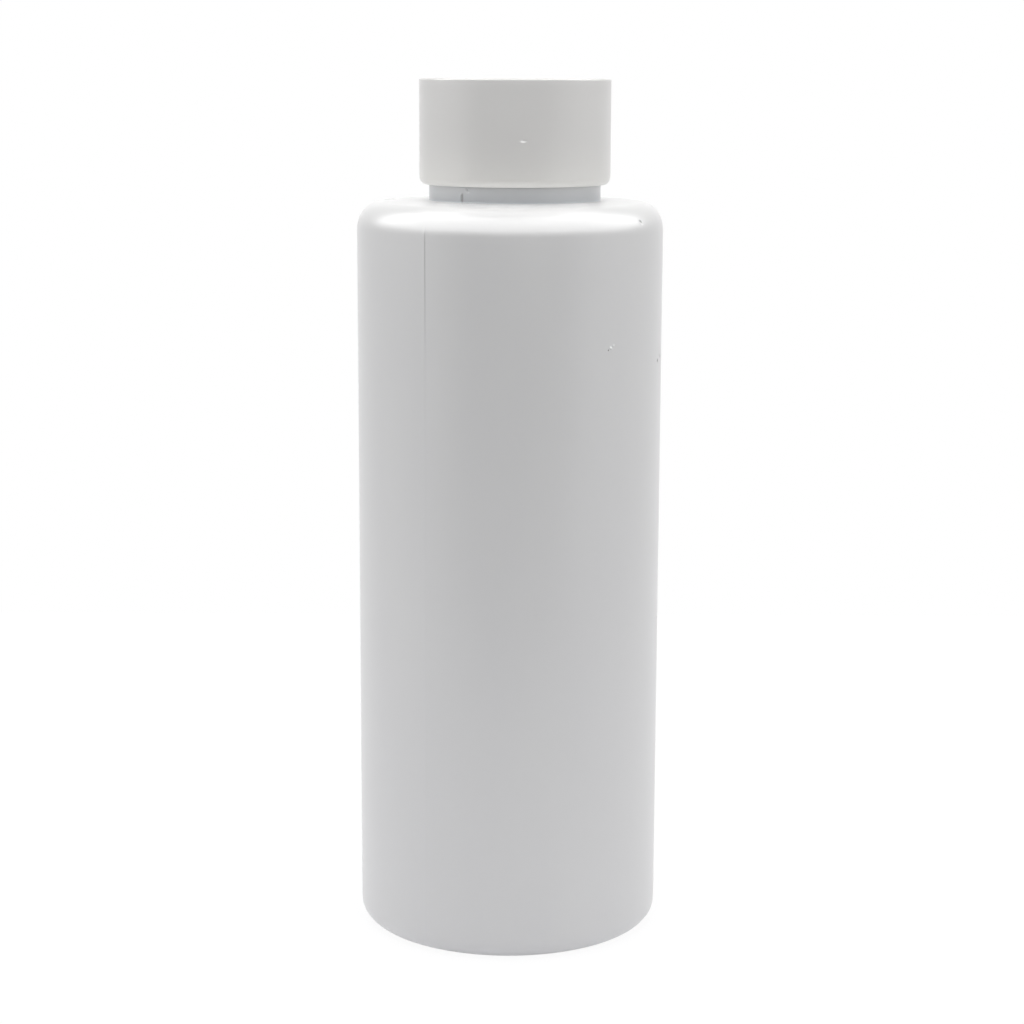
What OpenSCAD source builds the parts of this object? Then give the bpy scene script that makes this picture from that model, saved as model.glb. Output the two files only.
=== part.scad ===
// Round screw-cap bottle: a blown hollow body with a threaded neck, a smooth
// screw cap and a sealing disc inside the cap.
// Millimetres, +Z up. The origin is the middle of the ring that it stands on.

/* [Body] */
// Outside diameter of the straight body
body_d = 66; // [56:0.5:90]
// Height at which the straight side ends and the shoulder curve starts
body_h = 153.8; // [90:0.1:220]
// Thickness of the blown wall
wall_t = 1; // [0.7:0.05:1.8]
// Radius of the rounded edge round the foot
foot_r = 4; // [2.5:0.1:6]
// Width of the flat ring that the body stands on
stand_w = 2; // [1:0.1:4]
// How far the base is pushed up inside the standing ring
push_up = 2.6; // [1:0.1:4]
// Width of the slope from the standing ring to the raised base
push_run = 4.5; // [3:0.1:8]

/* [Shoulder] */
// How far the shoulder curve reaches in from the side
shoulder_in = 4.6; // [3:0.1:8]
// Height of the shoulder curve
shoulder_drop = 6; // [3:0.1:12]
// Rise of the nearly flat top from the curve to the neck
shoulder_rise = 0.3; // [0:0.1:4]

/* [Neck] */
// How far the neck stands to the side of the middle of the body
neck_shift = 1; // [0:0.1:3]
// How much smaller than the crest of the thread the collar is, on the radius
collar_under = 0.2; // [0.1:0.05:0.6]
// Height of the collar
collar_h = 4.6; // [2:0.1:6]
// Height of the whole neck above the shoulder
neck_h = 22.3; // [20:0.1:30]
// Diameter of the neck between the turns of the thread
neck_d = 34.9; // [34:0.1:35.4]
// Thickness of the neck's wall between the turns of the thread
neck_wall = 1.75; // [1.4:0.05:3]
// Size of the small bevels on the collar and the rim
neck_bevel = 0.4; // [0.2:0.1:0.8]

/* [Thread] */
// Rise of the thread in one turn
thread_lead = 4.233; // [3.8:0.001:4.6]
// Height of the thread ridge above the neck
thread_depth = 1.2; // [0.8:0.05:1.3]
// Number of turns of the thread
thread_turns = 1.5; // [1:0.25:2]
// Width of the thread ridge at its root
thread_root_w = 2.3; // [1.8:0.1:2.4]
// Width of the thread ridge at its crest
thread_crest_w = 1; // [0.6:0.1:1.2]
// Distance from the rim down to the middle of the upper end of the thread
thread_drop = 2.6; // [2:0.1:4]
// Angle over which each end of a thread runs out into the wall
thread_runout = 36; // [18:9:72]

/* [Cap] */
// Thickness of the cap's smooth wall
cap_wall = 1.55; // [1.4:0.05:2.5]
// Gap between the lower edge of the cap and the shoulder
cap_gap = 3.4; // [2:0.1:6]
// Thickness of the cap's top at its edge
cap_top_t = 1.95; // [1.2:0.05:3]
// Height of the slight dome on the cap's top
cap_dome = 0.2; // [0:0.1:2]
// Radius of the cap's upper edge
cap_edge_r = 0.8; // [0.4:0.1:1.2]
// Radius of the cap's lower edge, on the outside
cap_lip_r = 1.2; // [0.6:0.1:1.2]
// Radial space between the neck's thread and the inside of the cap
cap_fit = 0.35; // [0.3:0.05:0.5]
// Radial space between the cap's thread and the neck
cap_thread_fit = 0.4; // [0.3:0.05:0.6]
// Width of the cap's thread ridge at its root
cap_root_w = 1.5; // [1.2:0.1:1.6]
// Width of the cap's thread ridge at its crest
cap_crest_w = 0.7; // [0.4:0.1:0.9]
// How far the cap's thread lies above the middle between the neck's turns
cap_thread_up = 0.35; // [0:0.05:0.35]

/* [Liner] */
// Thickness of the foam sealing disc
liner_t = 1.5; // [0.6:0.1:2]
// Radial space between the sealing disc and the inside of the cap
liner_fit = 0.4; // [0.3:0.1:0.6]

/* [Hidden] */
$fn = 128;
// Steps in a quarter of a rounded edge, and in the slope of the base
arc_steps = 10;
slope_steps = 10;
// Steps in one turn of a thread
turn_steps = 40;
// How far joined shapes run into each other, and how far cuts run past
overlap = 0.3;
past = 1;

body_r = body_d / 2;
neck_r = neck_d / 2;
bore_r = neck_r - neck_wall;
thread_r = neck_r + thread_depth;
collar_r = thread_r - collar_under;
cap_in_r = thread_r + cap_fit;
cap_thread_r = neck_r + cap_thread_fit;
cap_r = cap_in_r + cap_wall;
liner_r = cap_in_r - liner_fit;

ring_out_r = body_r - foot_r;
ring_in_r = ring_out_r - stand_w;
curve_top_r = body_r - shoulder_in;
curve_top_z = body_h + shoulder_drop;
shoulder_z = curve_top_z + shoulder_rise;
rim_z = shoulder_z + neck_h;
collar_z = shoulder_z + collar_h;

thread_top_z = rim_z - thread_drop;
thread_low_z = thread_top_z - thread_turns * thread_lead;

cap_low_z = shoulder_z + cap_gap;
cap_seat_z = rim_z + liner_t;
cap_rim_z = cap_seat_z + cap_top_t;
cap_thread_z = thread_low_z - thread_lead / 2 + cap_thread_up;
// Bevel inside the cap's lower edge, half of what the rounded edge leaves
cap_in_bevel = (cap_wall - cap_lip_r) / 2;

// Inward lean of the base's slope on the inside, so that the wall stays even
slope_lean = wall_t * 0.4;

// Points of a quarter of an ellipse round (cx, cz), from angle a0 to a1
function quarter(cx, cz, rx, rz, a0, a1) =
    [for (i = [0 : arc_steps])
        let (a = a0 + (a1 - a0) * i / arc_steps)
        [cx + rx * cos(a), cz + rz * sin(a)]];

// Points of the slope from the raised base out to the standing ring
function base_slope(r_out, z_low) =
    [for (i = [0 : slope_steps])
        let (t = i / slope_steps)
        [r_out - push_run * (1 - t), z_low + push_up * (1 + cos(180 * t)) / 2]];

// Outline of the closed body, half of it, from the axis round to the axis
function body_outline() = concat(
    [[0, push_up]],
    base_slope(ring_in_r, 0),
    quarter(ring_out_r, foot_r, foot_r, foot_r, -90, 0),
    quarter(curve_top_r, body_h, shoulder_in, shoulder_drop, 0, 90),
    [[collar_r, shoulder_z], [0, shoulder_z]]);

// Outline of the space inside the body
function space_outline() = concat(
    [[0, push_up + wall_t]],
    base_slope(ring_in_r - slope_lean, wall_t),
    quarter(ring_out_r, foot_r, foot_r - wall_t, foot_r - wall_t, -90, 0),
    quarter(curve_top_r, body_h, shoulder_in - wall_t, shoulder_drop - wall_t, 0, 90),
    [[collar_r, shoulder_z - wall_t], [0, shoulder_z - wall_t]]);

// Outline of the neck with its collar
function neck_outline() = [
    [0, shoulder_z - wall_t / 2],
    [collar_r, shoulder_z - wall_t / 2],
    [collar_r, collar_z - neck_bevel],
    [collar_r - neck_bevel, collar_z],
    [neck_r, collar_z],
    [neck_r, rim_z - neck_bevel],
    [neck_r - neck_bevel, rim_z],
    [0, rim_z]];

// Outline of the cap's wall and top
function cap_outline() = concat(
    [[cap_in_r, cap_seat_z], [cap_in_r, cap_low_z + cap_in_bevel]],
    [[cap_in_r + cap_in_bevel, cap_low_z]],
    quarter(cap_r - cap_lip_r, cap_low_z + cap_lip_r, cap_lip_r, cap_lip_r, -90, 0),
    quarter(cap_r - cap_edge_r, cap_rim_z - cap_edge_r, cap_edge_r, cap_edge_r, 0, 90),
    [for (i = [1 : arc_steps])
        let (t = i / arc_steps)
        [(cap_r - cap_edge_r) * (1 - t), cap_rim_z + cap_dome * (1 - pow(1 - t, 2))]],
    [[0, cap_seat_z]]);

// Share of full ridge height at step i of n, so that both ends run out
function runout(i, n) =
    min(1, min(i, n - i) * 360 / turn_steps / thread_runout);

// Four corners of the ridge at step i of n, in the order of its section
function ridge_corners(wall_r, crest_r, root_w, crest_w, low_z, i, n) =
    let (
        side = crest_r > wall_r ? 1 : -1,
        in_r = wall_r - side * overlap,
        out_r = in_r + (crest_r - in_r) * runout(i, n),
        a = 360 * i / turn_steps,
        z = low_z + thread_lead * i / turn_steps,
        tip_r = runout(i, n) > 0 ? out_r : in_r + side * overlap / 4)
    [for (c = [[in_r, -root_w / 2], [tip_r, -crest_w / 2],
               [tip_r, crest_w / 2], [in_r, root_w / 2]])
        [c[0] * cos(a), c[0] * sin(a), z + c[1]]];

// Screw ridge on a round wall, outside it or inside it
module ridge(wall_r, crest_r, root_w, crest_w, low_z) {
    n = round(thread_turns * turn_steps);
    points = [for (i = [0 : n])
        each ridge_corners(wall_r, crest_r, root_w, crest_w, low_z, i, n)];
    sides = [for (i = [0 : n - 1], k = [0 : 3])
        let (
            a = 4 * i + k,
            b = 4 * i + (k + 1) % 4)
        each [[a, b, b + 4], [a, b + 4, a + 4]]];
    ends = [[0, 3, 2], [0, 2, 1], [4 * n, 4 * n + 1, 4 * n + 2], [4 * n, 4 * n + 2, 4 * n + 3]];
    faces = concat(sides, ends);
    turned = crest_r > wall_r ? faces : [for (f = faces) [f[0], f[2], f[1]]];
    polyhedron(points = points, faces = turned);
}

// Hollow blown body with its neck, thread and mouth
module bottle() {
    color("white")
    difference() {
        union() {
            rotate_extrude() polygon(body_outline());
            translate([neck_shift, 0, 0]) {
                rotate_extrude() polygon(neck_outline());
                ridge(neck_r, thread_r, thread_root_w, thread_crest_w, thread_low_z);
            }
        }
        rotate_extrude() polygon(space_outline());
        translate([neck_shift, 0, shoulder_z - wall_t - past])
            cylinder(h = neck_h + wall_t + 2 * past, r = bore_r);
    }
}

// Screw cap with its inside thread
module cap() {
    color("whitesmoke")
    translate([neck_shift, 0, 0])
    union() {
        rotate_extrude() polygon(cap_outline());
        ridge(cap_in_r, cap_thread_r, cap_root_w, cap_crest_w, cap_thread_z);
    }
}

// Foam sealing disc between the rim of the neck and the cap
module liner() {
    color("gainsboro")
    translate([neck_shift, 0, rim_z])
        cylinder(h = liner_t, r = liner_r);
}

bottle();
cap();
liner();
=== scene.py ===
import logging
import math
from dataclasses import dataclass
from enum import Enum
from typing import Callable, Iterable, Sequence

import bmesh
import bpy
from mathutils import Matrix, Vector


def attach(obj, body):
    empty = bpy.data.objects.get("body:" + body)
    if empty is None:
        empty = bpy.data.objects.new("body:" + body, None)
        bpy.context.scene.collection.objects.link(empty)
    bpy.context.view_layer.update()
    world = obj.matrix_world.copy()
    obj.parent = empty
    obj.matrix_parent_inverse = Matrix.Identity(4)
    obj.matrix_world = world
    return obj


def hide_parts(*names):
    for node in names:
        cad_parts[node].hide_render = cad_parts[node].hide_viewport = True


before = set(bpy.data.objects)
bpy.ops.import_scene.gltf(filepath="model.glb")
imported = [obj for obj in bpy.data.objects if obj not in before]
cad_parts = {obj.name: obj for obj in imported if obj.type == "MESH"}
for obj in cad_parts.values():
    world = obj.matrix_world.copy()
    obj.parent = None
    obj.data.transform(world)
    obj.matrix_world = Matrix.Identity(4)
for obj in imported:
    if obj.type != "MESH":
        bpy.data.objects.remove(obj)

LOG = logging.getLogger("bottle")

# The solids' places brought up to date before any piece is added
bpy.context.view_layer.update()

# All sizes below are millimetres and angles are degrees; the scene is in metres
MM = 0.001

# Rings are added to walls taller than this, and not this near to another ring
LEAST_WALL = 0.3
RING_ROOM = 0.03
# No mark reaches further than this from its middle
MARK_REACH = 2.0
# Shares of a speck's width at which it is full and gone
SPECK_FULL = 0.2
SPECK_GONE = 0.5


class Zone(Enum):
    """Part of a turned surface, which says what relief it takes."""

    PLAIN = "plain"
    BODY = "body"
    SHOULDER = "shoulder"
    COLLAR = "collar"
    THREAD = "thread"


class Body(Enum):
    """Rigid body of the frame that a piece rides on."""

    BOTTLE = "bottle"
    CAP = "cap"
    LINER = "liner"


@dataclass(frozen=True)
class Mark:
    """Small nick or bump in a surface, by its angle and height."""

    angle: float
    height: float
    half_width: float
    half_height: float
    rise: float
    # Lean of the mark's long side, and how wide its dark middle is
    lean: float = 0.0
    dark: float = 0.0

    def relief(self, around: float, up: float) -> float:
        """Rise at a distance round and up from the mark's middle."""
        turn = math.radians(self.lean)
        across = around * math.cos(turn) + up * math.sin(turn)
        along = up * math.cos(turn) - around * math.sin(turn)
        return self.rise * hill(math.hypot(across / self.half_width,
                                           along / self.half_height), 1.0)

    def place(self, radius: float, middle: float) -> tuple[float, float, float]:
        """Place of the mark's middle on a wall of a radius round an axis."""
        turn = math.radians(self.angle)
        return (middle + radius * math.cos(turn), radius * math.sin(turn), self.height)


@dataclass(frozen=True)
class Ring:
    """One ring of a turned surface."""

    radius: float
    height: float
    middle: float = 0.0
    zone: Zone = Zone.PLAIN


def steps(count: int) -> list[float]:
    """Shares from 0 to 1 in count equal steps, both ends included."""
    return [i / count for i in range(count + 1)]


def mix(low: float, high: float, share: float) -> float:
    """Value at a share of the way from low to high."""
    return low + (high - low) * share


def smooth(share: float) -> float:
    """Share eased at both ends and held between 0 and 1."""
    held = min(1.0, max(0.0, share))
    return held * held * (3.0 - 2.0 * held)


def hill(distance: float, reach: float) -> float:
    """Smooth bump: 1 at no distance, 0 from reach on."""
    return smooth(1.0 - abs(distance) / reach)


def turn_between(a: float, b: float) -> float:
    """Signed angle from b to a, between -180 and 180 degrees."""
    return (a - b + 180.0) % 360.0 - 180.0


def linear_colour(code: str) -> tuple[float, float, float, float]:
    """Turns an sRGB hex code into a linear colour.

    Args:
        code: Six hex digits after a hash sign.

    Returns:
        Linear red, green, blue and an alpha of 1.
    """
    parts = [int(code[i:i + 2], 16) / 255.0 for i in (1, 3, 5)]
    red, green, blue = [
        p / 12.92 if p <= 0.04045 else ((p + 0.055) / 1.055) ** 2.4 for p in parts
    ]
    return red, green, blue, 1.0


def arc_rings(centre: tuple[float, float], radii: tuple[float, float],
              angles: tuple[float, float], count: int, middle: float = 0.0,
              zone: Zone = Zone.PLAIN) -> list[Ring]:
    """Rings along part of an ellipse in the section of a turned piece.

    Args:
        centre: Radius and height of the ellipse's centre.
        radii: Half axes, outward and upward.
        angles: First and last angle, 0 outward and 90 upward.
        count: Number of steps.
        middle: Sideways place of the rings' axis.
        zone: Zone of the rings.

    Returns:
        The rings in order.
    """
    rings = []
    for share in steps(count):
        angle = math.radians(mix(angles[0], angles[1], share))
        rings.append(Ring(centre[0] + radii[0] * math.cos(angle),
                          centre[1] + radii[1] * math.sin(angle), middle, zone))
    return rings


def line_rings(start: tuple[float, float], end: tuple[float, float], count: int,
               middle: float = 0.0, zone: Zone = Zone.PLAIN,
               middle_end: float | None = None) -> list[Ring]:
    """Rings along a straight line in the section, the first point left out.

    Args:
        start: Radius and height of the point before the first ring.
        end: Radius and height of the last ring.
        count: Number of rings.
        middle: Sideways place of the axis at the start.
        zone: Zone of the rings.
        middle_end: Sideways place of the axis at the end, where it differs.

    Returns:
        The rings in order.
    """
    last = middle if middle_end is None else middle_end
    return [Ring(mix(start[0], end[0], share), mix(start[1], end[1], share),
                 mix(middle, last, share), zone)
            for share in steps(count)[1:]]


def spaced(values: Iterable[float], apart: float) -> list[float]:
    """Values in rising order, without those closer than apart to the one before."""
    kept: list[float] = []
    for value in sorted(values):
        if not kept or value - kept[-1] >= apart:
            kept.append(value)
    return kept


def either_side(middle: float, step: float, count: int) -> list[float]:
    """Values a step apart, count of them to either side of a middle."""
    return [middle + step * i for i in range(-count, count + 1)]


def with_levels(rings: Sequence[Ring], levels: Iterable[float]) -> list[Ring]:
    """Adds rings at given heights where they fall between two rings of a wall.

    Args:
        rings: Rings in order.
        levels: Heights of the wanted rings, rising.

    Returns:
        The rings with the new ones among them.
    """
    result = [rings[0]]
    for low, high in zip(rings, rings[1:]):
        raised = high.zone in (Zone.BODY, Zone.SHOULDER)
        if raised and abs(high.height - low.height) > LEAST_WALL:
            wanted = [v for v in levels
                      if min(low.height, high.height) + RING_ROOM < v
                      < max(low.height, high.height) - RING_ROOM]
            if high.height < low.height:
                wanted.reverse()
            for level in wanted:
                share = (level - low.height) / (high.height - low.height)
                result.append(Ring(mix(low.radius, high.radius, share), level,
                                   mix(low.middle, high.middle, share), high.zone))
        result.append(high)
    return result


def turned_mesh(name: str, rings: Sequence[Ring], angles: Sequence[float],
                relief: Callable[[Ring, float], float]) -> bpy.types.Object:
    """Builds a closed turned surface from rings, each raised by a relief.

    Args:
        name: Name of the new object.
        rings: Rings from one pole to the other; a pole has no radius.
        angles: Angles of the columns, rising, within one turn.
        relief: Gives the outward rise of the surface at a ring and angle.

    Returns:
        The new object, smooth shaded and linked to the scene.
    """
    mesh = bmesh.new()
    rows: list[list[bmesh.types.BMVert]] = []
    for ring in rings:
        if ring.radius <= 0.0:
            rows.append([mesh.verts.new((ring.middle * MM, 0.0, ring.height * MM))])
            continue
        row = []
        for angle in angles:
            reach = (ring.radius + relief(ring, angle)) * MM
            turn = math.radians(angle)
            row.append(mesh.verts.new((ring.middle * MM + reach * math.cos(turn),
                                       reach * math.sin(turn), ring.height * MM)))
        rows.append(row)
    count = len(angles)
    for low, high in zip(rows, rows[1:]):
        for i in range(count):
            j = (i + 1) % count
            if len(low) == 1:
                mesh.faces.new((low[0], high[j], high[i]))
            elif len(high) == 1:
                mesh.faces.new((low[i], low[j], high[0]))
            else:
                mesh.faces.new((low[i], low[j], high[j], high[i]))
    bmesh.ops.recalc_face_normals(mesh, faces=mesh.faces)
    data = bpy.data.meshes.new(name)
    mesh.to_mesh(data)
    mesh.free()
    data.shade_smooth()
    piece = bpy.data.objects.new(name, data)
    bpy.context.scene.collection.objects.link(piece)
    return piece


@dataclass(frozen=True)
class ScrewThread:
    """Trapezoid screw ridge that runs out at both ends."""

    wall: float
    crest: float
    root_width: float
    crest_width: float
    low: float
    lead: float = 4.233
    turns: float = 1.5
    runout: float = 36.0
    sunk: float = 0.3

    def height(self, angle: float, level: float) -> float:
        """Rise of the ridge from its wall.

        Args:
            angle: Angle round the axis from +X.
            level: Height in the frame.

        Returns:
            Rise outward, negative for a ridge on an inside wall.
        """
        side = 1.0 if self.crest > self.wall else -1.0
        full = abs(self.crest - self.wall)
        root_half = self.root_width / 2.0
        crest_half = self.crest_width / 2.0
        best = 0.0
        for whole in range(-1, int(self.turns) + 2):
            turn = whole + (angle % 360.0) / 360.0
            if not 0.0 <= turn <= self.turns:
                continue
            off = abs(level - self.low - self.lead * turn)
            ends = min(turn, self.turns - turn) * 360.0 / self.runout
            flank = (root_half - off) / (root_half - crest_half)
            rise = min(1.0, max(0.0, flank)) * (full + self.sunk) * min(1.0, ends)
            best = max(best, rise - self.sunk)
        return side * best


@dataclass(frozen=True)
class NeckSizes:
    """Sizes of the screw neck that the bottle and the cap share."""

    shift: float = 1.0
    shoulder: float = 160.1
    collar_top: float = 164.7
    rim: float = 182.4
    wall_radius: float = 17.45
    crest_radius: float = 18.65
    collar_radius: float = 18.45
    bore_radius: float = 15.7
    thread_low: float = 173.45
    cap_inside: float = 19.0
    cap_crest: float = 17.85
    cap_thread_low: float = 171.6835
    # Widths of the ridges at root and crest, on the neck and in the cap
    ridge_widths: tuple[float, float] = (2.3, 1.0)
    cap_ridge_widths: tuple[float, float] = (1.5, 0.7)

    def outside_thread(self) -> ScrewThread:
        """Thread on the outside of the neck."""
        return ScrewThread(self.wall_radius, self.crest_radius, *self.ridge_widths,
                           self.thread_low)

    def inside_thread(self) -> ScrewThread:
        """Thread on the inside of the cap."""
        return ScrewThread(self.cap_inside, self.cap_crest, *self.cap_ridge_widths,
                           self.cap_thread_low)


NodeInput = "bpy.types.NodeSocket | float | tuple[float, ...]"


def add_node(tree: bpy.types.NodeTree, kind: str, inputs: dict[str | int, NodeInput],
             **settings: object) -> bpy.types.Node:
    """Adds a shader node with its settings, values and links.

    Args:
        tree: Node tree that takes the node.
        kind: Blender's type name of the node.
        inputs: Socket name or number to a value, or to the socket to link from.
        **settings: Properties of the node itself.

    Returns:
        The new node.
    """
    node = tree.nodes.new(kind)
    for key, value in settings.items():
        setattr(node, key, value)
    for key, value in inputs.items():
        if isinstance(value, bpy.types.NodeSocket):
            tree.links.new(value, node.inputs[key])
        else:
            node.inputs[key].default_value = value
    return node


def new_tree(name: str) -> tuple[bpy.types.Material, bpy.types.NodeTree]:
    """Makes a material with an empty node tree.

    Args:
        name: Name of the material.

    Returns:
        The material and its tree.
    """
    material = bpy.data.materials.new(name)
    material.use_nodes = True
    material.node_tree.nodes.clear()
    return material, material.node_tree


@dataclass(frozen=True)
class Speck:
    """Dark speck at a mark, where it is and how wide."""

    place: tuple[float, float, float]
    width: float


def specks_mask(tree: bpy.types.NodeTree, coords: bpy.types.NodeSocket,
                specks: Iterable[Speck]) -> bpy.types.NodeSocket | None:
    """Mask that is 1 on the specks and 0 elsewhere.

    Args:
        tree: Node tree of the material.
        coords: Coordinates in the frame, in metres.
        specks: The specks.

    Returns:
        The mask's socket, or nothing where there are no specks.
    """
    total = None
    for speck in specks:
        away = add_node(tree, "ShaderNodeVectorMath",
                        {0: coords, 1: tuple(v * MM for v in speck.place)},
                        operation="DISTANCE")
        spot = add_node(tree, "ShaderNodeMapRange",
                        {"Value": away.outputs["Value"],
                         "From Min": speck.width * MM * SPECK_FULL,
                         "From Max": speck.width * MM * SPECK_GONE,
                         "To Min": 1.0, "To Max": 0.0},
                        interpolation_type="SMOOTHSTEP").outputs["Result"]
        if total is None:
            total = spot
        else:
            total = add_node(tree, "ShaderNodeMath", {0: total, 1: spot},
                             operation="MAXIMUM").outputs["Value"]
    return total


@dataclass(frozen=True)
class Seam:
    """Painted shade along a parting line, which fades downward and ends at the top.

    The line lies in an upright plane, given by its normal and its distance from
    the origin along that normal. It shades only the side where along is positive.
    """

    normal: tuple[float, float, float]
    along: tuple[float, float, float]
    offset: float
    half_width: float
    fade: tuple[float, float]
    end: tuple[float, float]
    strength: float

    def mask(self, tree: bpy.types.NodeTree, coords: bpy.types.NodeSocket,
             ) -> bpy.types.NodeSocket:
        """Mask that is strong on the line and 0 elsewhere.

        Args:
            tree: Node tree of the material.
            coords: Coordinates in the frame, in metres.

        Returns:
            The mask's socket.
        """
        level = add_node(tree, "ShaderNodeVectorMath", {0: coords, 1: self.normal},
                         operation="DOT_PRODUCT").outputs["Value"]
        off = add_node(tree, "ShaderNodeMath", {0: level, 1: self.offset * MM},
                       operation="SUBTRACT").outputs["Value"]
        away = add_node(tree, "ShaderNodeMath", {0: off}, operation="ABSOLUTE").outputs["Value"]
        line = add_node(tree, "ShaderNodeMapRange",
                        {"Value": away, "From Min": 0.0, "From Max": self.half_width * MM,
                         "To Min": self.strength, "To Max": 0.0},
                        interpolation_type="SMOOTHSTEP").outputs["Result"]
        height = add_node(tree, "ShaderNodeSeparateXYZ", {"Vector": coords}).outputs["Z"]
        fade = add_node(tree, "ShaderNodeMapRange",
                        {"Value": height, "From Min": self.fade[0] * MM,
                         "From Max": self.fade[1] * MM}).outputs["Result"]
        ended = add_node(tree, "ShaderNodeMapRange",
                         {"Value": height, "From Min": self.end[1] * MM,
                          "From Max": self.end[0] * MM}).outputs["Result"]
        side = add_node(tree, "ShaderNodeVectorMath", {0: coords, 1: self.along},
                        operation="DOT_PRODUCT").outputs["Value"]
        front = add_node(tree, "ShaderNodeMath", {0: side, 1: 0.0},
                         operation="GREATER_THAN").outputs["Value"]
        both = add_node(tree, "ShaderNodeMath", {0: fade, 1: ended},
                        operation="MULTIPLY").outputs["Value"]
        faded = add_node(tree, "ShaderNodeMath", {0: line, 1: both},
                         operation="MULTIPLY").outputs["Value"]
        return add_node(tree, "ShaderNodeMath", {0: faded, 1: front},
                        operation="MULTIPLY").outputs["Value"]


@dataclass(frozen=True)
class PaintedShadingBand:
    """Painted light and shade: a second tone, lighter or darker than the wall's own, that the
    wall takes on between two heights.
    """

    tone: str
    start: float
    full: float
    # Power of the rise: 1 is even, more keeps it to the far end
    power: float = 1.0
    # Height below which there is none
    floor: float = 0.0

    def mask(self, tree: bpy.types.NodeTree, coords: bpy.types.NodeSocket,
             ) -> bpy.types.NodeSocket:
        """Mask that grows from 0 to 1 between the heights.

        Args:
            tree: Node tree of the material.
            coords: Coordinates in the frame, in metres.

        Returns:
            The mask's socket.
        """
        height = add_node(tree, "ShaderNodeSeparateXYZ", {"Vector": coords}).outputs["Z"]
        even = add_node(tree, "ShaderNodeMapRange",
                        {"Value": height, "From Min": self.start * MM,
                         "From Max": self.full * MM}).outputs["Result"]
        risen = add_node(tree, "ShaderNodeMath", {0: even, 1: self.power},
                         operation="POWER").outputs["Value"]
        above = add_node(tree, "ShaderNodeMath", {0: height, 1: self.floor * MM},
                         operation="GREATER_THAN").outputs["Value"]
        return add_node(tree, "ShaderNodeMath", {0: risen, 1: above},
                        operation="MULTIPLY").outputs["Value"]


@dataclass(frozen=True)
class MouldedPlastic:
    """White plastic as it comes from a mould, with its grain and flow."""

    name: str
    tone: str
    shade: str
    # Tone of the dark specks, also used for the painted shade along the parting line
    speck: str
    roughness: float
    roughness_spread: float
    ior: float
    # Pattern sizes in millimetres
    grain: float
    grain_depth: float
    ripple: float
    ripple_depth: float
    # How much longer the slow ripple is upward than round the piece
    stretch: float
    # Painted light and shade: a second tone by height
    painted_shading: PaintedShadingBand

    def build(self, specks: Iterable[Speck] = (),
              seams: Iterable[Seam] = ()) -> bpy.types.Material:
        """Makes the material.

        Args:
            specks: Dark specks on the surface.
            seams: Painted shade along the parting line.

        Returns:
            The new material.
        """
        material, tree = new_tree(self.name)
        coords = add_node(tree, "ShaderNodeTexCoord", {}).outputs["Object"]
        drawn = add_node(tree, "ShaderNodeMapping",
                         {"Vector": coords, "Scale": (1.0, 1.0, 1.0 / self.stretch)})
        slow = add_node(tree, "ShaderNodeTexNoise",
                        {"Vector": drawn.outputs["Vector"], "Scale": 1.0 / (self.ripple * MM),
                         "Detail": 1.0, "Roughness": 0.4})
        fine = add_node(tree, "ShaderNodeTexNoise",
                        {"Vector": coords, "Scale": 1.0 / (self.grain * MM),
                         "Detail": 2.0, "Roughness": 0.5})
        colour = add_node(tree, "ShaderNodeMix",
                          {"Factor": slow.outputs["Fac"], "A": linear_colour(self.shade),
                           "B": linear_colour(self.tone)}, data_type="RGBA")
        # Painted light and shade mixed into the colour by height: lighter on the cap's lip,
        # darker on the bottle's neck
        painted_shading_mix = add_node(tree, "ShaderNodeMix",
                           {"Factor": self.painted_shading.mask(tree, coords),
                            "A": colour.outputs["Result"],
                            "B": linear_colour(self.painted_shading.tone)}, data_type="RGBA")
        colour_out = painted_shading_mix.outputs["Result"]
        # Dark specks, and the painted shade along the parting line
        masks = [specks_mask(tree, coords, specks)]
        masks += [seam.mask(tree, coords) for seam in seams]
        for mask in masks:
            if mask is not None:
                marked = add_node(tree, "ShaderNodeMix",
                                  {"Factor": mask, "A": colour_out,
                                   "B": linear_colour(self.speck)}, data_type="RGBA")
                colour_out = marked.outputs["Result"]
        gloss = add_node(tree, "ShaderNodeMapRange",
                         {"Value": slow.outputs["Fac"], "From Min": 0.0, "From Max": 1.0,
                          "To Min": self.roughness - self.roughness_spread,
                          "To Max": self.roughness + self.roughness_spread})
        swell = add_node(tree, "ShaderNodeBump",
                         {"Height": slow.outputs["Fac"], "Distance": self.ripple_depth * MM,
                          "Strength": 1.0})
        skin = add_node(tree, "ShaderNodeBump",
                        {"Height": fine.outputs["Fac"], "Distance": self.grain_depth * MM,
                         "Strength": 1.0, "Normal": swell.outputs["Normal"]})
        shader = add_node(tree, "ShaderNodeBsdfPrincipled",
                          {"Base Color": colour_out, "Roughness": gloss.outputs["Result"],
                           "IOR": self.ior, "Normal": skin.outputs["Normal"]})
        add_node(tree, "ShaderNodeOutputMaterial", {"Surface": shader.outputs["BSDF"]})
        return material


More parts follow.
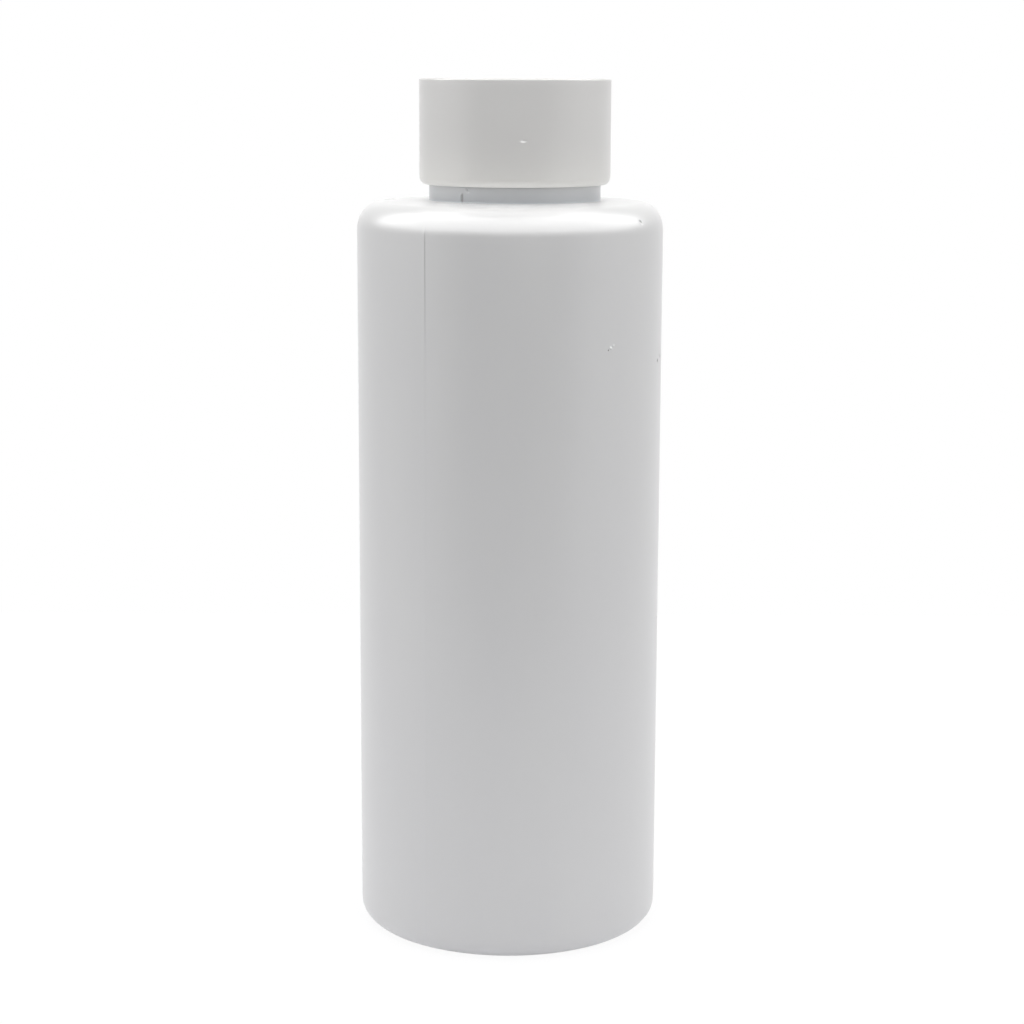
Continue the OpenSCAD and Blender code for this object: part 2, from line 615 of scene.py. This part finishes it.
@dataclass(frozen=True)
class FoamedSheet:
    """Foamed polyethylene sheet cut to a disc."""

    name: str
    tone: str
    shade: str
    roughness: float
    ior: float
    cell: float
    cell_depth: float

    def build(self) -> bpy.types.Material:
        """Makes the material.

        Returns:
            The new material.
        """
        material, tree = new_tree(self.name)
        coords = add_node(tree, "ShaderNodeTexCoord", {}).outputs["Object"]
        cells = add_node(tree, "ShaderNodeTexVoronoi",
                         {"Vector": coords, "Scale": 1.0 / (self.cell * MM)},
                         feature="SMOOTH_F1")
        colour = add_node(tree, "ShaderNodeMix",
                          {"Factor": cells.outputs["Distance"], "A": linear_colour(self.tone),
                           "B": linear_colour(self.shade)}, data_type="RGBA")
        skin = add_node(tree, "ShaderNodeBump",
                        {"Height": cells.outputs["Distance"], "Strength": 0.8,
                         "Distance": self.cell_depth * MM})
        shader = add_node(tree, "ShaderNodeBsdfPrincipled",
                          {"Base Color": colour.outputs["Result"], "Roughness": self.roughness,
                           "IOR": self.ior, "Normal": skin.outputs["Normal"]})
        add_node(tree, "ShaderNodeOutputMaterial", {"Surface": shader.outputs["BSDF"]})
        return material


# High-density polyethylene, extrusion blow-moulded and pigmented white: a soft
# wax-like gloss, a hair of slow ripple down the wall and a faint grain from the mould.
# The grain of the mould is about 0.1 mm; it is drawn at 0.35 mm so that it shows.
# The neck is painted darker and bluer toward its foot: painted shade under the cap's overhang.
BLOWN_POLYETHYLENE = MouldedPlastic(
    name="blow_moulded_hdpe", tone="#DDDDDC", shade="#DADADA", speck="#8C8A88",
    roughness=0.3, roughness_spread=0.05, ior=1.54, grain=0.35, grain_depth=0.002,
    ripple=11.0, ripple_depth=0.02, stretch=5.0,
    # Painted shade: the neck's darker bluish tone, deepest at its foot
    painted_shading=PaintedShadingBand("#A9ACB0", 165.5, 160.2, 1.0, 160.13))

# Polypropylene, injection-moulded against a polished tool: a clean even gloss, a
# little warmer and whiter than the bottle, with almost no ripple. The skirt is painted
# whiter toward the lip: painted light, standing in for light that the bright shoulder throws up.
MOULDED_POLYPROPYLENE = MouldedPlastic(
    name="injection_moulded_pp", tone="#DEDDDB", shade="#DCDBD9", speck="#8C8A88",
    roughness=0.3, roughness_spread=0.03, ior=1.49, grain=0.4, grain_depth=0.0015,
    ripple=14.0, ripple_depth=0.01, stretch=1.0,
    # Painted light: the skirt's whiter tone toward the lip
    painted_shading=PaintedShadingBand("#E6E5E2", 176.0, 163.5, 2.0))

# Foamed polyethylene sheet, die-cut: a matt face of closed cells about 0.3 mm wide,
# drawn at 0.45 mm so that they show.
FOAMED_POLYETHYLENE = FoamedSheet(
    name="foamed_pe_sheet", tone="#E2E2DF", shade="#C9C9C5", roughness=0.75, ior=1.5,
    cell=0.45, cell_depth=0.12)


@dataclass(frozen=True)
class BlownBottle:
    """Hollow blown body with its shoulder, collar, threaded neck and mouth."""

    neck: NeckSizes
    body_radius: float = 33.0
    body_top: float = 153.8
    wall: float = 1.0
    foot_radius: float = 4.0
    stand_width: float = 2.0
    push_up: float = 2.6
    push_run: float = 4.5
    # Inward lean of the base's slope on the inside, as a share of the wall
    slope_lean: float = 0.4
    shoulder_reach: float = 4.6
    shoulder_drop: float = 6.0
    bevel: float = 0.4
    mouth_edge: float = 0.3
    # The mould parts along an upright plane through this point of X, at this angle
    parting_x: float = -2.15
    parting_angle: float = 61.3
    # Height of the line that it leaves, its gentle and steep sides, and its flash
    parting_rise: float = 0.1
    parting_gentle: float = 0.9
    parting_steep: float = 0.24
    # The line's share of its height low down, and the heights over which it grows
    parting_weak: float = 0.3
    parting_grow: tuple[float, float] = (115.0, 155.0)
    # Half width, fade from below and strength of the painted shade along it
    parting_shade: tuple[float, float, float, float] = (0.18, 130.0, 148.0, 0.42)
    # Heights between which the line dies out on the shoulder
    parting_end: tuple[float, float] = (154.4, 156.0)
    flash_rise: float = 0.45
    flash_width: float = 0.3
    flash_runout: float = 0.4
    flash_span: tuple[float, float] = (160.2, 162.3)
    # Distance to the side, half width and strength of the painted shadow beside the flash
    flash_shade: tuple[float, float, float] = (0.3, 0.3, 0.85)
    # Radius of the blend between the shoulder and the collar
    neck_blend: float = 0.2
    # Even columns, and closer ones across the parting line and round each mark
    even_columns: int = 160
    parting_columns: tuple[tuple[float, float], ...] = ((-129.0, -120.6), (63.4, 71.2))
    parting_step: float = 0.25
    mark_turn: float = 0.3
    mark_turns: int = 6
    least_turn: float = 0.1
    # Rings above and below each mark
    mark_step: float = 0.14
    mark_steps: int = 7
    least_step: float = 0.12
    body_marks: tuple[Mark, ...] = (
        Mark(-50.5, 130.8, 0.32, 0.7, 0.26, 45.0),
        Mark(-49.3, 131.35, 0.35, 0.35, 0.18),
        Mark(-51.6, 130.5, 0.3, 0.3, -0.12, 0.0, 0.5),
        Mark(-12.4, 127.3, 0.5, 1.2, 0.25, 62.0),
        Mark(-16.2, 126.5, 0.5, 0.8, -0.25, 0.0, 1.0),
        Mark(-33.0, 156.43, 0.4, 0.9, -0.3, 50.0, 0.4),
        Mark(-172.0, 125.5, 0.4, 0.6, -0.1),
    )
    neck_marks: tuple[Mark, ...] = (
        Mark(-122.7, 162.85, 0.35, 0.9, -0.35, 48.0, 0.5),
        Mark(-123.7, 163.1, 0.2, 0.2, 0.0, 0.0, 0.4),
        Mark(-121.7, 162.6, 0.2, 0.2, 0.0, 0.0, 0.4),
    )

    def outside(self) -> list[Ring]:
        """Rings of the outside, from the middle of the base to the rim."""
        ring_out = self.body_radius - self.foot_radius
        ring_in = ring_out - self.stand_width
        curve_in = self.body_radius - self.shoulder_reach
        curve_top = self.body_top + self.shoulder_drop
        neck = self.neck
        rings = [Ring(0.0, self.push_up)]
        rings += line_rings((0.0, self.push_up), (ring_in - self.push_run, self.push_up), 6)
        rings += [Ring(ring_in - self.push_run * (1.0 - s),
                       self.push_up * (1.0 + math.cos(math.pi * s)) / 2.0)
                  for s in steps(10)[1:]]
        rings += line_rings((ring_in, 0.0), (ring_out, 0.0), 3)
        rings += arc_rings((ring_out, self.foot_radius), (self.foot_radius,) * 2,
                           (-90.0, 0.0), 14, zone=Zone.BODY)[1:]
        rings += line_rings((self.body_radius, self.foot_radius),
                            (self.body_radius, self.body_top), 20, zone=Zone.BODY)
        rings += arc_rings((curve_in, self.body_top),
                           (self.shoulder_reach, self.shoulder_drop), (0.0, 90.0), 18,
                           zone=Zone.SHOULDER)[1:]
        blend = self.neck_blend
        rings += line_rings((curve_in, curve_top), (neck.collar_radius + blend, neck.shoulder),
                            5, zone=Zone.SHOULDER, middle_end=neck.shift)
        rings += arc_rings((neck.collar_radius + blend, neck.shoulder + blend), (blend, blend),
                           (270.0, 180.0), 3, neck.shift, Zone.COLLAR)[1:]
        rings += line_rings((neck.collar_radius, neck.shoulder + blend),
                            (neck.collar_radius, neck.collar_top - self.bevel), 18,
                            neck.shift, Zone.COLLAR)
        rings += arc_rings((neck.collar_radius - self.bevel, neck.collar_top - self.bevel),
                           (self.bevel, self.bevel), (0.0, 90.0), 4, neck.shift)[1:]
        rings += line_rings((neck.collar_radius - self.bevel, neck.collar_top),
                            (neck.wall_radius, neck.collar_top), 2, neck.shift)
        thread_top = neck.rim - self.bevel
        rings += line_rings((neck.wall_radius, neck.collar_top),
                            (neck.wall_radius, thread_top), 68, neck.shift, Zone.THREAD)
        rings += arc_rings((neck.wall_radius - self.bevel, thread_top),
                           (self.bevel, self.bevel), (0.0, 90.0), 4, neck.shift)[1:]
        return rings

    def inside(self) -> list[Ring]:
        """Rings of the inside, from the rim down to the middle of the base."""
        ring_out = self.body_radius - self.foot_radius
        ring_in = ring_out - self.stand_width - self.slope_lean * self.wall
        curve_in = self.body_radius - self.shoulder_reach
        under = self.neck.shoulder - self.wall
        neck = self.neck
        edge = self.mouth_edge
        rings = line_rings((neck.wall_radius - self.bevel, neck.rim),
                           (neck.bore_radius + edge, neck.rim), 3, neck.shift)
        rings += arc_rings((neck.bore_radius + edge, neck.rim - edge), (edge, edge),
                           (90.0, 180.0), 4, neck.shift)[1:]
        rings += line_rings((neck.bore_radius, neck.rim - edge), (neck.bore_radius, under), 4,
                            neck.shift)
        rings += line_rings((neck.bore_radius, under),
                            (curve_in, self.body_top + self.shoulder_drop - self.wall), 6,
                            neck.shift, middle_end=0.0)
        rings += arc_rings((curve_in, self.body_top),
                           (self.shoulder_reach - self.wall, self.shoulder_drop - self.wall),
                           (90.0, 0.0), 8)[1:]
        rings += line_rings((self.body_radius - self.wall, self.body_top),
                            (self.body_radius - self.wall, self.foot_radius), 4)
        rings += arc_rings((ring_out, self.foot_radius),
                           (self.foot_radius - self.wall,) * 2, (0.0, -90.0), 6)[1:]
        rings += line_rings((ring_out, self.wall), (ring_in, self.wall), 2)
        rings += [Ring(ring_in - self.push_run * s,
                       self.wall + self.push_up * (1.0 - math.cos(math.pi * s)) / 2.0)
                  for s in steps(8)[1:]]
        raised = self.push_up + self.wall
        rings += line_rings((ring_in - self.push_run, raised), (0.0, raised), 3)
        return rings

    def columns(self) -> list[float]:
        """Angles of the columns, closer together at the parting line and marks."""
        angles = {round(360.0 * share, 3) for share in steps(self.even_columns)[:-1]}
        for low, high in self.parting_columns:
            count = round((high - low) / self.parting_step)
            angles |= {round(mix(low, high, share) % 360.0, 3) for share in steps(count)}
        for mark in self.body_marks + self.neck_marks:
            angles |= {round(angle % 360.0, 3)
                       for angle in either_side(mark.angle, self.mark_turn, self.mark_turns)}
        return spaced(angles, self.least_turn)

    def levels(self) -> list[float]:
        """Heights of the rings that the marks on the body need."""
        return spaced((level for mark in self.body_marks
                       for level in either_side(mark.height, self.mark_step,
                                                self.mark_steps)), self.least_step)

    def relief(self, ring: Ring, angle: float) -> float:
        """Outward rise of the surface at a ring and angle.

        Args:
            ring: Ring of the surface.
            angle: Angle round the axis.

        Returns:
            The rise in millimetres.
        """
        if ring.zone is Zone.THREAD:
            return self.neck.outside_thread().height(angle, ring.height)
        if ring.zone is Zone.PLAIN:
            return 0.0
        turn = math.radians(angle)
        plane = math.radians(self.parting_angle)
        away = ((ring.middle + ring.radius * math.cos(turn) - self.parting_x)
                * math.sin(plane) - ring.radius * math.sin(turn) * math.cos(plane))
        reach = self.parting_steep if away > 0.0 else self.parting_gentle
        start, full = self.parting_grow
        fading, gone = self.parting_end
        strength = mix(self.parting_weak, 1.0, smooth((ring.height - start) / (full - start)))
        strength *= smooth((gone - ring.height) / (gone - fading))
        rise =self.parting_rise * hill(away, reach) * strength
        marks = self.body_marks
        if ring.zone is Zone.COLLAR:
            low, high = self.flash_span
            if math.sin(turn) < 0.0:
                length = min(ring.height - low, high - ring.height)
                rise += (self.flash_rise * hill(away, self.flash_width)
                         * smooth(length / self.flash_runout))
            marks = self.neck_marks
        for mark in marks:
            up = ring.height - mark.height
            if abs(up) < MARK_REACH:
                around = math.radians(turn_between(angle, mark.angle)) * ring.radius
                rise += mark.relief(around, up)
        return rise

    def build(self) -> bpy.types.Object:
        """Builds, dresses and mounts the bottle.

        Returns:
            The bottle's object.
        """
        rings = with_levels(self.outside(), self.levels()) + self.inside()
        piece = turned_mesh("bottle_shell", rings, self.columns(), self.relief)
        neck = self.neck
        specks = [Speck(mark.place(self.body_radius, 0.0), mark.dark)
                  for mark in self.body_marks if mark.dark > 0.0]
        specks += [Speck(mark.place(neck.collar_radius, neck.shift), mark.dark)
                   for mark in self.neck_marks if mark.dark > 0.0]
        plane = math.radians(self.parting_angle)
        normal = (math.sin(plane), -math.cos(plane), 0.0)
        half_width, low, high, strength = self.parting_shade
        along = (-math.cos(plane), -math.sin(plane), 0.0)
        level = self.parting_x * normal[0]
        # Painted shade along the parting line, a little to its steep side
        body = Seam(normal, along, level + half_width / 2.0, half_width, (low, high),
                    self.parting_end, strength)
        # Painted shadow beside the flash on the neck
        aside, half_flash, dark = self.flash_shade
        foot, tip = self.flash_span
        flash = Seam(normal, along, level + aside, half_flash, (foot - 0.1, foot + 0.1),
                     (tip - 0.5, tip), dark)
        piece.data.materials.append(BLOWN_POLYETHYLENE.build(specks, (body, flash)))
        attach(piece, Body.BOTTLE.value)
        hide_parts("bottle")
        return piece


@dataclass(frozen=True)
class ScrewCap:
    """Smooth injection-moulded screw cap with a slightly domed top."""

    neck: NeckSizes
    radius: float = 20.55
    lip: float = 163.5
    seat: float = 183.9
    edge_level: float = 185.85
    dome: float = 0.2
    edge_radius: float = 0.45
    # The rounded lower edge, inward and upward
    lip_reach: float = 1.35
    lip_rise: float = 1.8
    gate_radius: float = 1.2
    gate_depth: float = 0.15
    marks: tuple[Mark, ...] = (Mark(-85.3, 173.15, 1.0, 0.4, -0.13),)
    # Even columns, and closer columns and rings round each mark
    even_columns: int = 192
    mark_turn: float = 0.3
    mark_turns: int = 12
    least_turn: float = 0.1
    mark_step: float = 0.06
    mark_steps: int = 8
    least_step: float = 0.05

    def rings(self) -> list[Ring]:
        """Rings from the middle of the top, down the outside and up the inside."""
        shift = self.neck.shift
        inner = self.radius - self.edge_radius
        rings = []
        for share in steps(24):
            radius = inner * share
            level = self.edge_level + self.dome * (1.0 - share ** 2)
            rings.append(Ring(radius, level - self.gate_depth * hill(radius, self.gate_radius),
                              shift))
        rings += arc_rings((inner, self.edge_level - self.edge_radius),
                           (self.edge_radius, self.edge_radius), (90.0, 0.0), 10, shift)[1:]
        rings += line_rings((self.radius, self.edge_level - self.edge_radius),
                            (self.radius, self.lip + self.lip_rise), 16, shift, Zone.BODY)
        rings += arc_rings((self.radius - self.lip_reach, self.lip + self.lip_rise),
                           (self.lip_reach, self.lip_rise), (0.0, -90.0), 12, shift)[1:]
        inside = self.neck.cap_inside
        bevel = (self.radius - inside - self.lip_reach) / 2.0
        rings += line_rings((self.radius - self.lip_reach, self.lip),
                            (inside + bevel, self.lip), 2, shift)
        rings += line_rings((inside + bevel, self.lip), (inside, self.lip + bevel), 2, shift)
        rings += line_rings((inside, self.lip + bevel), (inside, self.seat), 96, shift,
                            Zone.THREAD)
        rings += line_rings((inside, self.seat), (0.0, self.seat), 10, shift)
        return rings

    def relief(self, ring: Ring, angle: float) -> float:
        """Outward rise of the surface: the inside thread, and the marks outside.

        Args:
            ring: Ring of the surface.
            angle: Angle round the axis.

        Returns:
            The rise in millimetres.
        """
        if ring.zone is Zone.THREAD:
            return self.neck.inside_thread().height(angle, ring.height)
        if ring.zone is not Zone.BODY:
            return 0.0
        rise = 0.0
        for mark in self.marks:
            around = math.radians(turn_between(angle, mark.angle)) * ring.radius
            rise += mark.relief(around, ring.height - mark.height)
        return rise

    def columns(self) -> list[float]:
        """Angles of the columns, closer together at the marks."""
        angles = {round(360.0 * share, 3) for share in steps(self.even_columns)[:-1]}
        for mark in self.marks:
            angles |= {round(angle % 360.0, 3)
                       for angle in either_side(mark.angle, self.mark_turn, self.mark_turns)}
        return spaced(angles, self.least_turn)

    def build(self) -> bpy.types.Object:
        """Builds, dresses and mounts the cap.

        Returns:
            The cap's object.
        """
        levels = spaced((level for mark in self.marks
                         for level in either_side(mark.height, self.mark_step,
                                                  self.mark_steps)), self.least_step)
        piece = turned_mesh("cap_shell", with_levels(self.rings(), levels), self.columns(),
                            self.relief)
        piece.data.materials.append(MOULDED_POLYPROPYLENE.build())
        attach(piece, Body.CAP.value)
        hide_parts("cap")
        return piece


@dataclass(frozen=True)
class FoamLiner:
    """Foam sealing disc that the rim bears on, drawn flat without the rim's slight press."""

    neck: NeckSizes
    radius: float = 18.6
    low: float = 182.4
    thickness: float = 1.5
    edge: float = 0.25
    even_columns: int = 128

    def build(self) -> bpy.types.Object:
        """Builds, dresses and mounts the disc.

        Returns:
            The disc's object.
        """
        shift = self.neck.shift
        high = self.low + self.thickness
        flat = self.radius - self.edge
        rings = [Ring(0.0, self.low, shift)]
        rings += line_rings((0.0, self.low), (flat, self.low), 10, shift)
        rings += arc_rings((flat, self.low + self.edge), (self.edge, self.edge),
                           (-90.0, 0.0), 5, shift)[1:]
        rings += arc_rings((flat, high - self.edge), (self.edge, self.edge), (0.0, 90.0), 5,
                           shift)
        rings += line_rings((flat, high), (0.0, high), 10, shift)
        angles = [360.0 * share for share in steps(self.even_columns)[:-1]]
        piece = turned_mesh("liner_disc", rings, angles, lambda ring, angle: 0.0)
        piece.data.materials.append(FOAMED_POLYETHYLENE.build())
        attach(piece, Body.LINER.value)
        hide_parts("liner")
        return piece


@dataclass(frozen=True)
class StudioCamera:
    """Camera at the place that the outline in the photograph fits."""

    distance: float = 511.6
    level: float = 185.05
    aside: float = 0.635
    down: float = 10.34
    roll: float = 0.212
    lens: float = 82.82
    sensor: float = 36.0
    # Nearest and furthest that it sees, in metres
    reach: tuple[float, float] = (0.01, 20.0)

    def build(self) -> bpy.types.Object:
        """Makes the camera and gives it to the scene.

        Returns:
            The camera's object.
        """
        data = bpy.data.cameras.new("studio_camera")
        data.lens = self.lens
        data.sensor_width = self.sensor
        data.clip_start, data.clip_end = self.reach
        camera = bpy.data.objects.new("studio_camera", data)
        bpy.context.scene.collection.objects.link(camera)
        place = Matrix.Translation(Vector((self.aside, -self.distance, self.level)) * MM)
        tilt = Matrix.Rotation(math.radians(90.0 - self.down), 4, "X")
        turn = Matrix.Rotation(math.radians(self.roll), 4, "Z")
        camera.matrix_world = place @ tilt @ turn
        bpy.context.scene.camera = camera
        return camera


@dataclass(frozen=True)
class SoftBox:
    """Rectangular soft lamp; its glow is 1 where it looks plain white."""

    name: str
    place: tuple[float, float, float]
    aim: tuple[float, float, float]
    width: float
    height: float
    glow: float

    def build(self) -> bpy.types.Object:
        """Makes the lamp.

        Returns:
            The lamp's object.
        """
        data = bpy.data.lights.new(self.name, "AREA")
        data.shape = "RECTANGLE"
        data.size = self.width
        data.size_y = self.height
        data.energy = self.glow * math.pi * self.width * self.height
        lamp = bpy.data.objects.new(self.name, data)
        bpy.context.scene.collection.objects.link(lamp)
        lamp.location = Vector(self.place)
        lamp.rotation_euler = (Vector(self.aim) - lamp.location).to_track_quat(
            "-Z", "Y").to_euler()
        return lamp


@dataclass(frozen=True)
class WhiteStudio:
    """Pale table, white surroundings, soft lamps and what the gloss mirrors in front.

    Its own sizes are metres.
    """

    table_half: float = 0.3
    ambient: float = 0.445
    ambient_tone: str = "#FFFFFF"
    table_tone: str = "#ECECF0"
    # Share of the table that is plain white to the eye, and how white
    table_own_white: float = 0.92
    table_glow: float = 1.02
    # Round sweep behind the camera: dim in the middle, bright at either end and above
    sweep_radius: float = 1.0
    sweep_reach: float = 120.0
    sweep_span: tuple[float, float] = (-0.4, 2.4)
    sweep_steps: int = 32
    sweep_dim: float = 0.02
    sweep_left: float = 0.9
    sweep_right: float = 0.9
    sweep_high: float = 7.5
    # Sideways places between which each end turns from dim to bright
    sweep_left_ramp: tuple[float, float] = (-0.75, -0.85)
    sweep_right_ramp: tuple[float, float] = (0.66, 0.76)
    # Heights between which the bright upper band begins
    sweep_high_ramp: tuple[float, float] = (0.31, 0.47)
    lamps: tuple[SoftBox, ...] = (
        SoftBox("lamp_top", (0.0, 0.05, 1.3), (0.0, 0.0, 0.0), 1.3, 1.2, 2.7),
        SoftBox("lamp_left", (-1.25, 0.1, 0.5), (0.0, 0.0, 0.1), 1.0, 0.9, 0.78),
        SoftBox("lamp_right", (1.25, 0.0, 0.5), (0.0, 0.0, 0.1), 1.0, 0.9, 0.76),
    )

    def seen_plainly(self, tree: bpy.types.NodeTree) -> bpy.types.NodeSocket:
        """Socket that is 1 for rays of the camera, of gloss and through clear things.

        Args:
            tree: Node tree that takes the nodes.

        Returns:
            The socket.
        """
        rays = add_node(tree, "ShaderNodeLightPath", {}).outputs
        seen = add_node(tree, "ShaderNodeMath", {0: rays["Is Camera Ray"],
                                                 1: rays["Is Glossy Ray"]},
                        operation="MAXIMUM")
        clear = add_node(tree, "ShaderNodeMath", {0: seen.outputs["Value"],
                                                  1: rays["Is Transmission Ray"]},
                         operation="MAXIMUM")
        return clear.outputs["Value"]

    def build_world(self) -> None:
        """Makes surroundings that look white and light the object softly."""
        world = bpy.data.worlds.new("white_studio")
        world.use_nodes = True
        tree = world.node_tree
        tree.nodes.clear()
        soft = add_node(tree, "ShaderNodeBackground",
                        {"Color": linear_colour(self.ambient_tone), "Strength": self.ambient})
        plain = add_node(tree, "ShaderNodeBackground",
                         {"Color": (1.0, 1.0, 1.0, 1.0), "Strength": 1.0})
        both = add_node(tree, "ShaderNodeMixShader",
                        {0: self.seen_plainly(tree), 1: soft.outputs["Background"],
                         2: plain.outputs["Background"]})
        add_node(tree, "ShaderNodeOutputWorld", {"Surface": both.outputs["Shader"]})
        bpy.context.scene.world = world

    def build_card(self, name: str, points: Sequence[tuple[float, float, float]],
                   faces: Iterable[tuple[int, ...]],
                   material: bpy.types.Material) -> bpy.types.Object:
        """Makes a card of the studio.

        Args:
            name: Name of the card.
            points: Its corners, in metres.
            faces: Its faces, by the numbers of their corners.
            material: Its material.

        Returns:
            The card's object.
        """
        data = bpy.data.meshes.new(name)
        data.from_pydata(points, [], list(faces))
        data.materials.append(material)
        card = bpy.data.objects.new(name, data)
        bpy.context.scene.collection.objects.link(card)
        return card

    def build_sweep(self) -> None:
        """Makes the sweep behind the camera, which only the gloss mirrors."""
        material, tree = new_tree("studio_sweep_card")
        coords = add_node(tree, "ShaderNodeTexCoord", {}).outputs["Object"]
        place = add_node(tree, "ShaderNodeSeparateXYZ", {"Vector": coords}).outputs
        level: bpy.types.NodeSocket | float = self.sweep_dim
        for axis, ramp, bright in (("X", self.sweep_left_ramp, self.sweep_left),
                                   ("X", self.sweep_right_ramp, self.sweep_right),
                                   ("Z", self.sweep_high_ramp, self.sweep_high)):
            share = add_node(tree, "ShaderNodeMapRange",
                             {"Value": place[axis], "From Min": ramp[0], "From Max": ramp[1]},
                             interpolation_type="SMOOTHSTEP").outputs["Result"]
            level = add_node(tree, "ShaderNodeMix",
                             {"Factor": share, "A": level, "B": bright}).outputs["Result"]
        glow = add_node(tree, "ShaderNodeEmission",
                        {"Color": (1.0, 1.0, 1.0, 1.0), "Strength": level})
        add_node(tree, "ShaderNodeOutputMaterial", {"Surface": glow.outputs["Emission"]})
        points = []
        for share in steps(self.sweep_steps):
            turn = math.radians(mix(-self.sweep_reach, self.sweep_reach, share) - 90.0)
            points += [(self.sweep_radius * math.cos(turn), self.sweep_radius * math.sin(turn),
                        level) for level in self.sweep_span]
        faces = [(2 * i, 2 * i + 2, 2 * i + 3, 2 * i + 1) for i in range(self.sweep_steps)]
        sweep = self.build_card("studio_sweep", points, faces, material)
        sweep.visible_camera = False
        sweep.visible_diffuse = False
        sweep.visible_shadow = False

    def build_table(self) -> None:
        """Makes the pale table, which looks white and keeps a faint shadow."""
        material, tree = new_tree("studio_white_table")
        share = add_node(tree, "ShaderNodeMath", {0: self.seen_plainly(tree),
                                                  1: self.table_own_white},
                         operation="MULTIPLY")
        card = add_node(tree, "ShaderNodeBsdfDiffuse", {"Color": linear_colour(self.table_tone)})
        white = add_node(tree, "ShaderNodeEmission", {"Color": (1.0, 1.0, 1.0, 1.0),
                                                      "Strength": self.table_glow})
        both = add_node(tree, "ShaderNodeMixShader",
                        {0: share.outputs["Value"], 1: card.outputs["BSDF"],
                         2: white.outputs["Emission"]})
        add_node(tree, "ShaderNodeOutputMaterial", {"Surface": both.outputs["Shader"]})
        half = self.table_half
        points = [(x * half, y * half, 0.0) for x, y in ((-1, -1), (1, -1), (1, 1), (-1, 1))]
        self.build_card("studio_table", points, [(0, 1, 2, 3)], material)

    def build(self) -> None:
        """Makes the surroundings, the table, the sweep and the lamps."""
        self.build_world()
        self.build_table()
        self.build_sweep()
        for lamp in self.lamps:
            lamp.build()
        bpy.context.scene.view_settings.view_transform = "Standard"


def main() -> None:
    """Builds the camera, the bottle's pieces and the studio in order."""
    logging.basicConfig(level=logging.INFO, format="%(name)s: %(message)s")
    StudioCamera().build()
    neck = NeckSizes()
    for part in (BlownBottle(neck), ScrewCap(neck), FoamLiner(neck)):
        piece = part.build()
        LOG.info("%s: %d faces", piece.name, len(piece.data.polygons))
    WhiteStudio().build()


if __name__ == "__main__":
    main()
